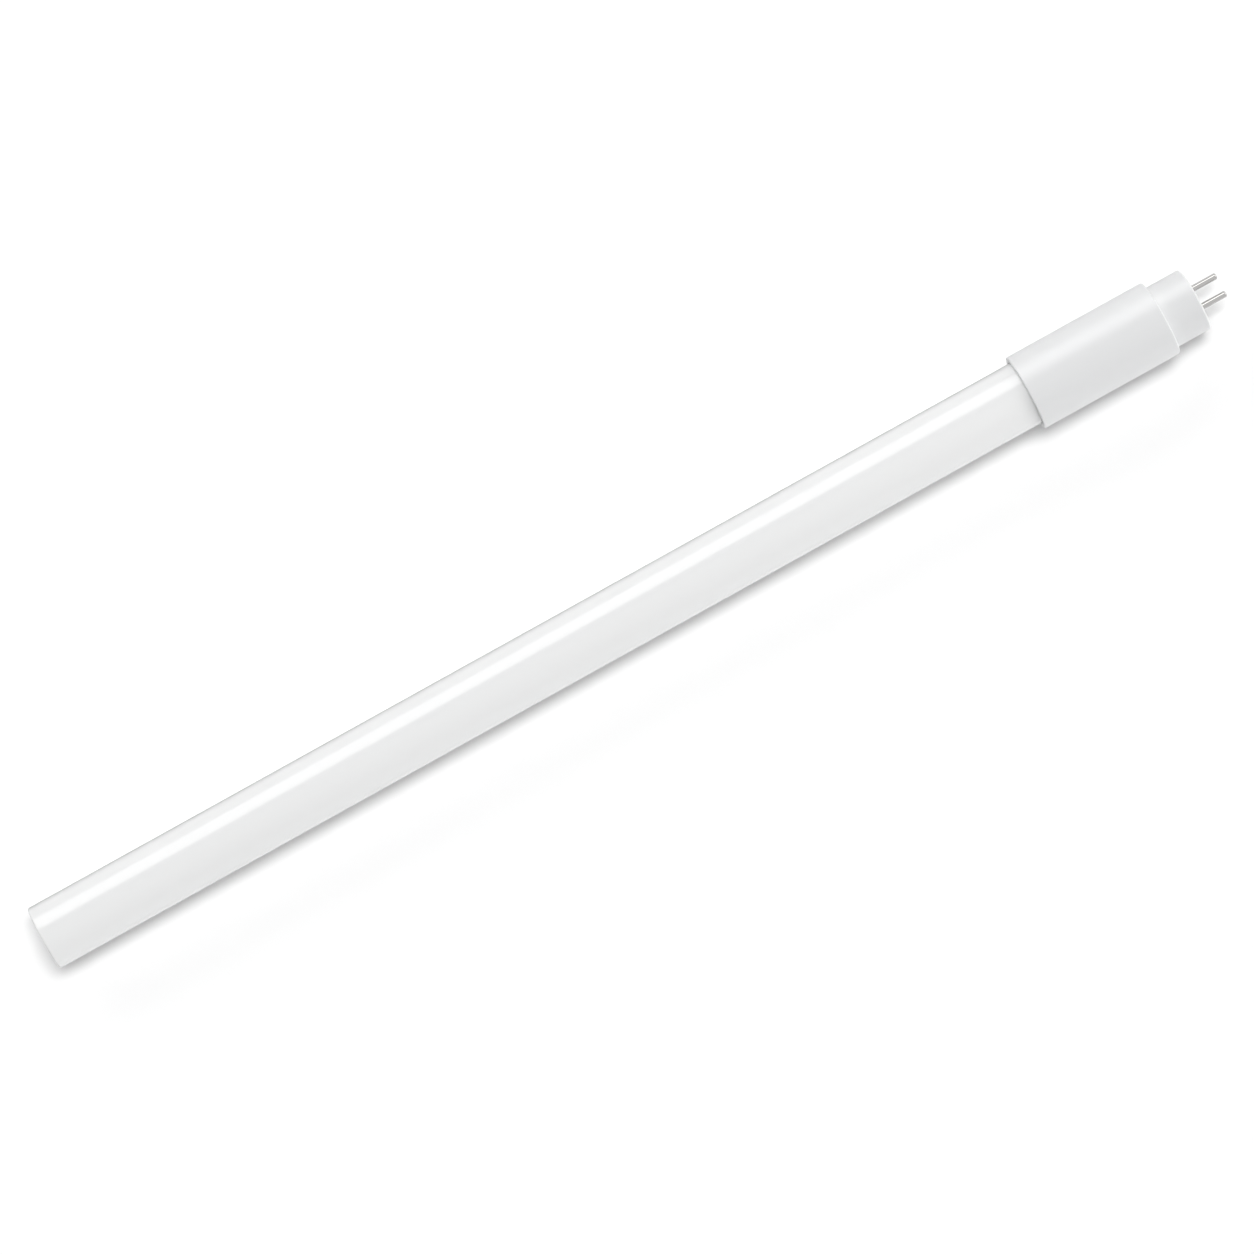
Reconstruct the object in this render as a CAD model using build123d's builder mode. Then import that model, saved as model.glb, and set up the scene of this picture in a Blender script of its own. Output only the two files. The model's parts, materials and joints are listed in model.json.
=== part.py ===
"""Tube lamp with a turning two-pin base: opal tube, driver sleeve and everything inside them.

The lamp lies along X.  The origin is the middle of the base face that meets the lampholder, +X is
the way the pins point, the tube runs towards -X and +Z is up.  All sizes are in millimetres.
"""
from build123d import *
from math import sqrt
import os

# ---- driving dimensions ----------------------------------------------------------------------

# tube
body_length = 310.0       # base face to the far rim
tube_d = 16.0
tube_wall = 0.8
rim_fillet = 0.35         # outside of the far rim
rim_chamfer = 0.2         # inside of it
tube_seat = 9.0           # length of tube inside the sleeve
seat_draw = 0.2           # how far the hidden end is drawn in, on the radius

# driver sleeve; its length follows from what it holds
sleeve_wall = 1.3         # round the tube
sleeve_front_chamfer = 0.3
sleeve_back_chamfer = 0.2
wall_bite = 0.33          # how deep a ring, rail or lug starts inside the wall that carries it
ledge_length = 1.2        # shoulder that the tube butts against
land_length = 2.0         # mouth in which the base turns
groove_length = 1.4       # groove that the snap ridge runs in
stop_length = 1.2         # stop arc, along X
track_length = 1.2        # click track, along X
track_height = 0.3
click_count = 16          # clicks in a full turn
notch_depth = 0.25
notch_r = 1.0
rail_thickness = 0.8
rail_reach = 0.75         # how far a rail laps over the driver board

# turning base
neck_length = 9.2
neck_step = 0.05          # neck radius is this much under the tube's
neck_chamfer = 0.4        # outside of the base face
neck_inner_chamfer = 0.45
neck_wall = 1.35
face_thickness = 1.8
ridge_height = 0.45
ridge_flat = 0.5
ridge_ramp = 0.5
tail_step = 0.35          # the fingers' ends are this much thinner, on the radius
finger_count = 5
finger_slot = 1.2
finger_root = 1.0         # solid journal left in front of the slots, from the sleeve's face
turn_each_way = 90.0      # degrees
lug_half_angle = 8.0
stop_slack = 0.5          # degrees left between the lug and the stop at full turn

# contact pins
pin_pitch = 4.75
pin_d = 1.6
pin_length = 7.1
pin_tip_chamfer = 0.3
pin_shank_d = 2.0         # moulded into the face
pin_flange_d = 2.9
pin_flange_thickness = 0.6
pin_boss_d = 4.2
pin_boss_height = 0.8
pin_tail = 2.4
pin_socket_d = 0.9
pin_socket_depth = 1.8

# leads from the pins to the driver
lead_d = 1.1
lead_core_d = 0.8
lead_straight = 2.75      # behind its pin, before the lead bends
lead_level = 1.65         # in front of the driver board, after the second bend
lead_lap = 1.0            # how far a lead runs onto the driver board

# click spring
spring_width = 1.8
spring_nose = 0.6         # width of the bump that drops into a notch
spring_thickness = 0.25
spring_root = 1.8         # length held in the neck wall
spring_slot = 2.6
spring_dip = 0.35         # how far the leaf dips towards the axis before its bump
spring_rise = 1.3         # from the dip to the bump's crest, along X
spring_lip = 0.5          # turned-in end behind the crest

# end plug
plug_recess = 0.6
plug_disc = 1.5
plug_skirt = 7.0
plug_wall = 1.0
plug_rib_count = 8
plug_rib_width = 0.6
plug_gate_d = 1.6
plug_gate_depth = 0.25

# LED strip
strip_width = 9.6
strip_thickness = 1.0
strip_lap = 1.85          # how far the strip runs on past the header
led_pitch = 12.0
led_length = 3.5
led_width = 2.8
led_height = 0.7
led_cup_length = 2.6
led_cup_width = 2.0
led_cup_depth = 0.4
led_end_margin = 6.0      # bare strip before the first and after the last LED
chip_length = 3.2
chip_width = 1.6
chip_height = 0.55
chip_count = 4
bead_width = 6.0          # adhesive bead under the strip

# driver
driver_thickness = 1.0
driver_corner = 0.4       # cut off the board's corners
driver_end_gap = 0.4      # to the ledge
driver_track_gap = 0.5    # to the click track
driver_spare = 0.48       # bare board in front of the leads
header_inset = 1.85       # from the back of the driver board
header_height = 0.75      # between the two boards
header_pitch = 2.54
header_pin = 0.64
header_pin_stub = 0.5     # pin beyond each board
header_pin_chamfer = 0.13
header_length = 5.2
header_width = 2.4
bulk_d = 6.3
bulk_length = 11.0
bulk_groove_inset = 1.6   # crimped groove, from the wire end
bulk_groove_half = 0.5    # half its width
bulk_groove_depth = 0.32
bulk_rim = 0.63           # rolled rim round the bung
bulk_bung_recess = 0.4
bulk_wire_pitch = 2.5
coil_d = 5.6
coil_height = 4.8
coil_waist_d = 3.0
coil_flange = 1.0
coil_lip = 0.4            # flange beyond the winding, on the radius
film_length = 7.0
film_width = 3.0
film_height = 6.0
film_wire_pitch = 5.0
film_inset = 1.2          # from the rail
fuse_d = 2.2
fuse_length = 4.2
part_chamfer = 0.35       # film capacitor and fuse resistor
wire_d = 0.5
bridge_length = 4.7
bridge_width = 3.9
bridge_height = 2.4
bridge_pitch = 2.5        # between feet on one side
driver_ic_length = 2.9
driver_ic_width = 1.6
driver_ic_height = 1.1
driver_ic_pitch = 0.95
package_space = 0.8       # between the two packages
package_draft = 4.0       # degrees
foot_width = 0.4
foot_thickness = 0.2
foot_reach = 0.8          # how far a foot stands out from its package
foot_shoulder = 0.4       # from the package to the first bend
foot_toe = 0.28           # flat end on the board
passive_length = 1.25
passive_width = 0.8
passive_height = 0.5
passive_pitch = 1.9       # along X
passive_row_pitch = 1.3
wire_stub = 0.6           # wire below the driver board

# clearances
turning_gap = 0.10        # base in its land and groove, on the radius
axial_gap = 0.2           # ridge in its groove, each side
glue_gap = 0.2            # tube in the sleeve, on the radius
bond_gap = 0.01           # adhesive to what it bonds
strip_gap = 0.09          # strip's corners to the tube
plug_gap = 0.1            # plug to the tube, on the radius
rib_gap = 0.03            # plug's ribs to the tube
board_gap = 0.05          # driver board in its rails, and past the stop
lug_gap = 0.05            # lug through the land
lug_room = 0.3            # lug to the bay, on the radius
tail_gap = 0.15           # fingers' ends to the stop, on the radius
part_gap = 0.05           # parts standing on a board
part_space = 0.4          # between neighbours on the driver board
wire_room = 0.95          # from a part's end to its wire, where the wire turns down
hole_gap = 0.1            # wire in its hole, on the radius

# ---- stations and radii that follow ------------------------------------------------------------

driver_length = (
    header_inset
    + header_pin / 2
    + part_space
    + bulk_length
    + wire_room
    + wire_d
    + part_space
    + fuse_d
    + part_space
    + lead_lap
    + driver_spare
)

far_x = -body_length
sleeve_front = -neck_length
land_back = sleeve_front - land_length
groove_back = land_back - groove_length
stop_front = groove_back - axial_gap
stop_back = stop_front - stop_length
track_back = stop_back - track_length
driver_front = track_back - driver_track_gap
driver_back = driver_front - driver_length
ledge_front = driver_back - driver_end_gap
tube_end = ledge_front - ledge_length
sleeve_back = tube_end - tube_seat

tail_x = stop_back - axial_gap
ridge_front = land_back - axial_gap
ridge_back = ridge_front - ridge_flat
header_x = driver_back + header_inset
strip_front = header_x + strip_lap

tube_r = tube_d / 2
bore_r = tube_r - tube_wall
drawn_r = tube_r - seat_draw
seat_r = tube_r + glue_gap
sleeve_r = seat_r + sleeve_wall

neck_r = tube_r - neck_step
neck_bore_r = neck_r - neck_wall
land_r = neck_r + turning_gap
ridge_r = neck_r + ridge_height
groove_r = ridge_r + turning_gap
tail_r = neck_r - tail_step
lug_r = land_r - lug_gap
stop_r = tail_r + tail_gap
bay_r = lug_r + lug_room
track_r = bay_r - track_height

# the strip lies on the chord that its corners reach; the driver stands on the header above it
strip_bottom = -sqrt((bore_r - strip_gap) ** 2 - (strip_width / 2) ** 2)
strip_top = strip_bottom + strip_thickness
plug_face = far_x + plug_recess
plug_inner = plug_face + plug_disc
driver_bottom = strip_top + header_height
driver_top = driver_bottom + driver_thickness
driver_half = sqrt((stop_r - board_gap) ** 2 - driver_bottom**2)

pin_sides = (-1, 1)
pin_y = pin_pitch / 2
pin_back = -face_thickness - pin_boss_height
pin_tail_x = pin_back - pin_flange_thickness - pin_tail


def radial_plane(angle):
    """Plane through the lamp's axis: its x runs along X, its y points out at angle from +Y."""
    return Plane(Plane.XY.rotated((angle, 0, 0)).location)


def line_plane(y, z):
    """Plane for turning a profile about a line along X at y, z."""
    return Plane(origin=(0, y, z), x_dir=(1, 0, 0), z_dir=(0, 0, 1))


def finish(part, label):
    part.label = label
    export_step(part, f"parts/{label}.step")


os.makedirs("parts", exist_ok=True)

# ---- tube and far end --------------------------------------------------------------------------

with BuildPart() as tube:
    with BuildSketch(Plane.XY):
        with BuildLine():
            Polyline(
                (far_x, bore_r),
                (far_x, tube_r),
                (sleeve_back, tube_r),
                (sleeve_back + seat_draw, drawn_r),
                (tube_end, drawn_r),
                (tube_end, bore_r),
                close=True,
            )
        make_face()
    revolve(axis=Axis.X)
    inner_rim, outer_rim = tube.edges().filter_by(GeomType.CIRCLE).group_by(Axis.X)[0].sort_by(SortBy.RADIUS)
    chamfer(inner_rim, rim_chamfer)
    fillet(outer_rim, rim_fillet)
finish(tube.part, "tube")

plug_r = bore_r - plug_gap
with BuildPart() as end_plug:
    with BuildSketch(Plane.XY):
        with BuildLine():
            Polyline(
                (plug_face, 0),
                (plug_face, plug_r),
                (plug_inner + plug_skirt, plug_r),
                (plug_inner + plug_skirt, plug_r - plug_wall),
                (plug_inner, plug_r - plug_wall),
                (plug_inner, 0),
                close=True,
            )
        make_face()
    revolve(axis=Axis.X)
    # crush ribs that centre the skirt in the tube
    with BuildSketch(Plane.YZ.offset(plug_inner)):
        with PolarLocations(plug_r, plug_rib_count, start_angle=180 / plug_rib_count):
            Rectangle(plug_wall, plug_rib_width)
        Circle(bore_r - rib_gap, mode=Mode.INTERSECT)
    extrude(amount=plug_skirt)
    # the skirt is open below for the strip and its bead
    with BuildSketch(Plane.YZ.offset(plug_inner)):
        with Locations((0, strip_top + strip_gap)):
            Rectangle(strip_width + 2 * strip_gap, bore_r, align=(Align.CENTER, Align.MAX))
    extrude(amount=plug_skirt, mode=Mode.SUBTRACT)
    # gate mark in the middle of the disc
    with BuildSketch(Plane.YZ.offset(plug_face)):
        Circle(plug_gate_d / 2)
    extrude(amount=plug_gate_depth, mode=Mode.SUBTRACT)
    outer_rim = end_plug.edges().filter_by(GeomType.CIRCLE).group_by(Axis.X)[0].sort_by(SortBy.RADIUS)[-1]
    chamfer(outer_rim, plug_gap)
finish(end_plug.part, "end_plug")

# ---- LED strip ---------------------------------------------------------------------------------

header_pins_y = (-header_pitch / 2, header_pitch / 2)
header_hole_r = header_pin / sqrt(2) + hole_gap

with BuildPart() as led_board:
    with BuildSketch(Plane.XY.offset(strip_bottom)):
        with Locations((plug_inner, 0)):
            Rectangle(strip_front - plug_inner, strip_width, align=(Align.MIN, Align.CENTER))
        with Locations(*[(header_x, y) for y in header_pins_y]):
            Circle(header_hole_r, mode=Mode.SUBTRACT)
    extrude(amount=strip_thickness)
finish(led_board.part, "led_board")

led_first = plug_inner + plug_skirt + led_end_margin
led_last = sleeve_back - led_end_margin
led_count = int((led_last - led_first) / led_pitch) + 1
led_middle = (led_first + led_last) / 2
led_z = strip_top + part_gap

with BuildPart() as led_packages:
    with BuildSketch(Plane.XY.offset(led_z)):
        with Locations((led_middle, 0)):
            with GridLocations(led_pitch, led_width, led_count, 1):
                Rectangle(led_length, led_width)
    extrude(amount=led_height)
    with BuildSketch(Plane.XY.offset(led_z + led_height)):
        with Locations((led_middle, 0)):
            with GridLocations(led_pitch, led_width, led_count, 1):
                Rectangle(led_cup_length, led_cup_width)
    extrude(amount=-led_cup_depth, mode=Mode.SUBTRACT)
finish(led_packages.part, "led_packages")

with BuildPart() as led_phosphors:
    with BuildSketch(Plane.XY.offset(led_z + led_height - led_cup_depth)):
        with Locations((led_middle, 0)):
            with GridLocations(led_pitch, led_width, led_count, 1):
                Rectangle(led_cup_length - 2 * bond_gap, led_cup_width - 2 * bond_gap)
    extrude(amount=led_cup_depth - part_gap)
finish(led_phosphors.part, "led_phosphors")

# the chips share the strip's length evenly, each midway between two LEDs
chip_stride = max(1, led_count // chip_count)
led_row_start = led_middle - (led_count - 1) * led_pitch / 2
chip_places = [
    led_row_start + (index * chip_stride + 0.5) * led_pitch
    for index in range(min(chip_count, led_count - 1))
]
with BuildPart() as strip_resistors:
    with BuildSketch(Plane.XY.offset(led_z)):
        with Locations(*[(x, 0) for x in chip_places]):
            Rectangle(chip_length, chip_width)
    extrude(amount=chip_height)
finish(strip_resistors.part, "strip_resistors")

with BuildPart() as board_adhesive:
    with BuildSketch(Plane.YZ.offset(plug_inner + bond_gap)):
        Circle(bore_r - bond_gap)
        with Locations((0, strip_bottom - bond_gap)):
            Rectangle(bead_width, 2 * bore_r, align=(Align.CENTER, Align.MAX), mode=Mode.INTERSECT)
    extrude(amount=tube_end - plug_inner - 2 * bond_gap)
finish(board_adhesive.part, "board_adhesive")

# ---- driver sleeve -----------------------------------------------------------------------------

with BuildPart() as driver_sleeve:
    with BuildSketch(Plane.XY):
        with BuildLine():
            Polyline(
                (sleeve_back, seat_r),
                (sleeve_back, sleeve_r),
                (sleeve_front, sleeve_r),
                (sleeve_front, land_r),
                (land_back, land_r),
                (land_back, groove_r),
                (groove_back, groove_r),
                (groove_back, bay_r),
                (ledge_front, bay_r),
                (ledge_front, bore_r),
                (tube_end, bore_r),
                (tube_end, seat_r),
                close=True,
            )
        make_face()
    revolve(axis=Axis.X)
    back_edge, front_edge = (
        driver_sleeve.edges().filter_by(GeomType.CIRCLE).sort_by(SortBy.RADIUS)[-2:].sort_by(Axis.X)
    )
    chamfer(back_edge, sleeve_back_chamfer)
    chamfer(front_edge, sleeve_front_chamfer)
    # click track: a low ring with scalloped notches
    with BuildSketch(Plane.XY):
        with Locations((track_back, track_r)):
            Rectangle(track_length, track_height + wall_bite, align=Align.MIN)
    revolve(axis=Axis.X)
    with BuildSketch(Plane.YZ.offset(track_back)):
        with PolarLocations(track_r + notch_depth - notch_r, click_count):
            Circle(notch_r)
    extrude(amount=track_length, mode=Mode.SUBTRACT)
    # stop arc round the lower side
    stop_gap = lug_half_angle + turn_each_way + stop_slack
    with BuildSketch(radial_plane(90 + stop_gap)):
        with Locations((stop_back, stop_r)):
            Rectangle(stop_length, bay_r - stop_r + wall_bite, align=Align.MIN)
    revolve(axis=Axis.X, revolution_arc=360 - 2 * stop_gap)
    # two pairs of rails for the driver board
    with BuildSketch(Plane.YZ.offset(ledge_front)):
        for side in (-1, 1):
            for z, lift in ((driver_top + board_gap, 1), (driver_bottom - board_gap, -1)):
                rail_y = side * (driver_half - rail_reach + bay_r / 2)
                with Locations((rail_y, z + lift * rail_thickness / 2)):
                    Rectangle(bay_r, rail_thickness)
        Circle(bay_r + wall_bite, mode=Mode.INTERSECT)
    extrude(amount=driver_front - ledge_front)
finish(driver_sleeve.part, "driver_sleeve")

with BuildPart() as cap_adhesive:
    bead_start = sleeve_back + seat_draw + glue_gap
    with BuildSketch(Plane.XY):
        with Locations((bead_start, drawn_r + bond_gap)):
            Rectangle(tube_end - bead_start - bond_gap, seat_r - drawn_r - 2 * bond_gap, align=Align.MIN)
    revolve(axis=Axis.X)
finish(cap_adhesive.part, "cap_adhesive")

# ---- turning base ------------------------------------------------------------------------------

spring_r = neck_r - neck_wall / 2             # the leaf's root sits in the middle of the neck wall
slot_front = sleeve_front - finger_root
spring_start = slot_front + spring_root

with BuildPart() as pin_base:
    with BuildSketch(Plane.XY):
        with BuildLine():
            Polyline(
                (0, 0),
                (0, neck_r),
                (ridge_front, neck_r),
                (ridge_front, ridge_r),
                (ridge_back, ridge_r),
                (ridge_back - ridge_ramp, tail_r),
                (tail_x, tail_r),
                (tail_x, neck_bore_r),
                (-face_thickness - neck_inner_chamfer, neck_bore_r),
                (-face_thickness, neck_bore_r - neck_inner_chamfer),
                (-face_thickness, 0),
                close=True,
            )
        make_face()
    revolve(axis=Axis.X)
    chamfer(pin_base.edges().filter_by(GeomType.CIRCLE).group_by(Axis.X)[-1], neck_chamfer)
    # bosses that back the pins
    with BuildSketch(Plane.YZ.offset(-face_thickness)):
        with Locations(*[(side * pin_y, 0) for side in pin_sides]):
            Circle(pin_boss_d / 2)
    extrude(amount=-pin_boss_height)
    # stop lug on top of the fingers
    with BuildSketch(radial_plane(90 - lug_half_angle)):
        with Locations((tail_x, tail_r - wall_bite)):
            Rectangle(groove_back - axial_gap / 2 - tail_x, lug_r - tail_r + wall_bite, align=Align.MIN)
    revolve(axis=Axis.X, revolution_arc=2 * lug_half_angle)
    # slots that free the snap fingers; the lowest one is wider, for the click spring
    through_wall = 2 * (neck_wall + ridge_height)
    with BuildSketch(Plane.YZ.offset(tail_x)):
        with PolarLocations(neck_r, finger_count, start_angle=-90):
            Rectangle(through_wall, finger_slot)
        with Locations((0, -neck_r)):
            Rectangle(spring_slot, through_wall)
    extrude(amount=slot_front - tail_x, mode=Mode.SUBTRACT)
    # pocket in the wall for the spring's root
    with BuildSketch(Plane.YZ.offset(slot_front)):
        with Locations((0, -spring_r)):
            Rectangle(spring_width + 2 * part_gap, spring_thickness + 2 * part_gap)
    extrude(amount=spring_root + part_gap, mode=Mode.SUBTRACT)
    # the pins' shanks
    with BuildSketch(Plane.YZ.offset(pin_back)):
        with Locations(*[(side * pin_y, 0) for side in pin_sides]):
            Circle(pin_shank_d / 2)
    extrude(amount=-pin_back, mode=Mode.SUBTRACT)
finish(pin_base.part, "pin_base")

with BuildPart() as contact_pins:
    for side in pin_sides:
        with BuildSketch(line_plane(side * pin_y, 0)):
            with BuildLine():
                Polyline(
                    (pin_length, 0),
                    (pin_length, pin_d / 2),
                    (0, pin_d / 2),
                    (0, pin_shank_d / 2),
                    (pin_back, pin_shank_d / 2),
                    (pin_back, pin_flange_d / 2),
                    (pin_back - pin_flange_thickness, pin_flange_d / 2),
                    (pin_back - pin_flange_thickness, pin_shank_d / 2),
                    (pin_tail_x, pin_shank_d / 2),
                    (pin_tail_x, pin_socket_d / 2),
                    (pin_tail_x + pin_socket_depth, pin_socket_d / 2),
                    (pin_tail_x + pin_socket_depth, 0),
                    close=True,
                )
            make_face()
        revolve(axis=Axis((0, side * pin_y, 0), (1, 0, 0)))
    tips = contact_pins.edges().filter_by(GeomType.CIRCLE).group_by(Axis.X)[-1]
    chamfer(tips, pin_tip_chamfer)
finish(contact_pins.part, "contact_pins")

lead_z = driver_top + lead_d / 2 + part_gap
lead_start = pin_tail_x - part_gap
with BuildPart() as pin_leads:
    for side in pin_sides:
        with BuildLine() as route:
            Polyline(
                (lead_start, side * pin_y, 0),
                (lead_start - lead_straight, side * pin_y, 0),
                (driver_front + lead_level, side * pin_y, lead_z),
                (driver_front - lead_lap, side * pin_y, lead_z),
            )
        with BuildSketch(Plane(origin=route.line @ 0, z_dir=route.line % 0)):
            Circle(lead_d / 2)
        sweep(path=route.line, transition=Transition.RIGHT)
        with BuildSketch(Plane.YZ.offset(lead_start)):
            with Locations((side * pin_y, 0)):
                Circle(lead_core_d / 2)
        extrude(amount=pin_socket_depth - part_gap)
finish(pin_leads.part, "pin_leads")

# the leaf runs back from its pocket and ends in a bump that sits in the track's lowest notch
bump_x = (stop_back + track_back) / 2
notch_reach = sqrt(notch_r**2 - (spring_nose / 2) ** 2) - (notch_r - notch_depth)
bump_r = track_r + notch_reach - spring_thickness / 2 - part_gap
with BuildPart() as click_spring:
    with BuildSketch(Plane.XZ):
        with BuildLine():
            Polyline(
                (spring_start, -spring_r),
                (slot_front - spring_root, -spring_r),
                (bump_x + spring_rise, -spring_r + spring_dip),
                (bump_x, -bump_r),
                (bump_x - spring_lip, -bump_r + spring_lip),
            )
        trace(line_width=spring_thickness)
    extrude(amount=spring_width / 2, both=True)
    # the leaf narrows to its nose
    with BuildSketch(Plane.XY):
        with BuildLine():
            Polyline(
                (spring_start, spring_width / 2),
                (slot_front, spring_width / 2),
                (bump_x + spring_lip, spring_nose / 2),
                (track_back, spring_nose / 2),
                (track_back, -spring_nose / 2),
                (bump_x + spring_lip, -spring_nose / 2),
                (slot_front, -spring_width / 2),
                (spring_start, -spring_width / 2),
                close=True,
            )
        make_face()
    extrude(amount=sleeve_r, both=True, mode=Mode.INTERSECT)
finish(click_spring.part, "click_spring")

# ---- driver ------------------------------------------------------------------------------------

on_top = driver_top + part_gap
under = driver_bottom - part_gap
bulk_back = header_x + header_pin / 2 + part_space
bulk_front = bulk_back + bulk_length
bulk_wire_x = bulk_front + wire_room + wire_d / 2
bulk_z = on_top + bulk_d / 2
coil_x = header_x + header_pin / 2 + coil_d / 2
coil_y = driver_half - rail_reach - part_space / 2 - coil_d / 2
bulk_y = coil_y - coil_d / 2 - part_space - bulk_d / 2
film_back = coil_x + coil_d / 2 + part_space
film_y = driver_half - rail_reach - film_inset - film_width / 2
fuse_x = bulk_wire_x + wire_d / 2 + part_space + fuse_d / 2
fuse_wire_reach = fuse_length / 2 + wire_room - wire_d / 2
fuse_y = fuse_wire_reach + wire_d - (driver_half - rail_reach)
fuse_z = on_top + fuse_d / 2
bridge_x = bulk_wire_x - wire_d / 2 - part_space - bridge_length / 2
driver_ic_x = bridge_x - bridge_length / 2 - package_space - driver_ic_length / 2
driver_ic_y = -driver_ic_width / 2

# wires: each leaves its part, bends and goes through the board
wire_depth = driver_bottom - wire_stub
film_wires = [(film_back + (film_length + end * film_wire_pitch) / 2, film_y) for end in (-1, 1)]
bulk_wires = [(bulk_wire_x, bulk_y + end * bulk_wire_pitch / 2) for end in (-1, 1)]
fuse_wires = [(fuse_x, fuse_y + end * fuse_wire_reach) for end in (-1, 1)]

with BuildPart() as driver_board:
    with BuildSketch(Plane.XY.offset(driver_bottom)) as driver_board_outline:
        with Locations((driver_back, 0)):
            Rectangle(driver_front - driver_back, 2 * driver_half, align=(Align.MIN, Align.CENTER))
        chamfer(driver_board_outline.vertices(), driver_corner)
        with Locations(*film_wires, *bulk_wires, *fuse_wires):
            Circle(wire_d / 2 + hole_gap, mode=Mode.SUBTRACT)
        with Locations(*[(header_x, y) for y in header_pins_y]):
            Circle(header_hole_r, mode=Mode.SUBTRACT)
    extrude(amount=driver_thickness)
finish(driver_board.part, "driver_board")

with BuildPart() as bulk_capacitor:
    bulk_r = bulk_d / 2
    groove_x = bulk_front - bulk_groove_inset
    bung_x = bulk_front - bulk_bung_recess
    with BuildSketch(line_plane(bulk_y, bulk_z)):
        with BuildLine():
            Polyline(
                (bulk_back, 0),
                (bulk_back, bulk_r),
                (groove_x - bulk_groove_half, bulk_r),
                (groove_x, bulk_r - bulk_groove_depth),
                (groove_x + bulk_groove_half, bulk_r),
                (bulk_front, bulk_r),
                (bulk_front, bulk_r - bulk_rim),
                (bung_x, bulk_r - bulk_rim),
                (bung_x, 0),
                close=True,
            )
        make_face()
    revolve(axis=Axis((0, bulk_y, bulk_z), (1, 0, 0)))
finish(bulk_capacitor.part, "bulk_capacitor")

with BuildPart() as inductor_core:
    with BuildSketch(Plane.XY.offset(on_top)):
        with Locations((coil_x, coil_y)):
            Circle(coil_d / 2)
    extrude(amount=coil_flange)
    with BuildSketch(Plane.XY.offset(on_top + coil_flange)):
        with Locations((coil_x, coil_y)):
            Circle(coil_waist_d / 2)
    extrude(amount=coil_height - 2 * coil_flange)
    with BuildSketch(Plane.XY.offset(on_top + coil_height - coil_flange)):
        with Locations((coil_x, coil_y)):
            Circle(coil_d / 2)
    extrude(amount=coil_flange)
finish(inductor_core.part, "inductor_core")

with BuildPart() as inductor_winding:
    with BuildSketch(Plane.XY.offset(on_top + coil_flange + bond_gap)):
        with Locations((coil_x, coil_y)):
            Circle(coil_d / 2 - coil_lip)
            Circle(coil_waist_d / 2 + bond_gap, mode=Mode.SUBTRACT)
    extrude(amount=coil_height - 2 * (coil_flange + bond_gap))
finish(inductor_winding.part, "inductor_winding")

with BuildPart() as film_capacitor:
    with BuildSketch(Plane.XY.offset(on_top)):
        with Locations((film_back, film_y)):
            Rectangle(film_length, film_width, align=(Align.MIN, Align.CENTER))
    extrude(amount=film_height)
    chamfer(film_capacitor.edges().filter_by(Axis.Z), part_chamfer)
    chamfer(film_capacitor.faces().sort_by(Axis.Z)[-1].edges(), part_chamfer)
finish(film_capacitor.part, "film_capacitor")

with BuildPart() as fuse_resistor:
    with BuildSketch(Plane.XZ.offset(-(fuse_y - fuse_length / 2))):
        with Locations((fuse_x, fuse_z)):
            Circle(fuse_d / 2)
    extrude(amount=-fuse_length)
    chamfer(fuse_resistor.edges().filter_by(GeomType.CIRCLE), part_chamfer)
finish(fuse_resistor.part, "fuse_resistor")


def wire(start, corner, end):
    """A round wire that leaves start, turns sharply at corner and ends at end."""
    with BuildLine() as route:
        Polyline(start, corner, end)
    with BuildSketch(Plane(origin=route.line @ 0, z_dir=route.line % 0)) as section:
        Circle(wire_d / 2)
    sweep(sections=section.sketch, path=route.line, transition=Transition.RIGHT)


with BuildPart() as component_leads:
    for x, y in bulk_wires:
        wire((bung_x + bond_gap, y, bulk_z), (x, y, bulk_z), (x, y, wire_depth))
    for (x, y), end in zip(fuse_wires, (-1, 1)):
        wire((x, fuse_y + end * (fuse_length / 2 + bond_gap), fuse_z), (x, y, fuse_z), (x, y, wire_depth))
    with BuildSketch(Plane.XY.offset(wire_depth)):
        with Locations(*film_wires):
            Circle(wire_d / 2)
    extrude(amount=on_top - bond_gap - wire_depth)
finish(component_leads.part, "component_leads")


def package(x, y, length, width, height):
    """A moulded package that hangs under the board, a foot's thickness clear of it."""
    with BuildSketch(Plane.XY.offset(under - foot_thickness)) as outline:
        with Locations((x, y)):
            Rectangle(length, width)
    extrude(outline.sketch, amount=-height, taper=package_draft)


def feet(x, y, width, height, pitch, count):
    """Gull-wing feet down both sides of a package."""
    knee = under - foot_thickness - height / 2
    for step in range(count):
        foot_x = x + (step - (count - 1) / 2) * pitch
        for side in (-1, 1):
            with BuildSketch(Plane.YZ.offset(foot_x - foot_width / 2)) as profile:
                with BuildLine():
                    Polyline(
                        (y + side * (width / 2 + foot_thickness / 2), knee),
                        (y + side * (width / 2 + foot_shoulder), knee),
                        (y + side * (width / 2 + foot_reach - foot_toe), under - foot_thickness / 2),
                        (y + side * (width / 2 + foot_reach), under - foot_thickness / 2),
                    )
                trace(line_width=foot_thickness)
            extrude(profile.sketch, amount=foot_width)


with BuildPart() as bridge_rectifier:
    package(bridge_x, 0, bridge_length, bridge_width, bridge_height)
finish(bridge_rectifier.part, "bridge_rectifier")

with BuildPart() as driver_ic:
    package(driver_ic_x, driver_ic_y, driver_ic_length, driver_ic_width, driver_ic_height)
finish(driver_ic.part, "driver_ic")

with BuildPart() as package_feet:
    feet(bridge_x, 0, bridge_width, bridge_height, pitch=bridge_pitch, count=2)
    feet(driver_ic_x, driver_ic_y, driver_ic_width, driver_ic_height, pitch=driver_ic_pitch, count=3)
finish(package_feet.part, "package_feet")

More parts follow.
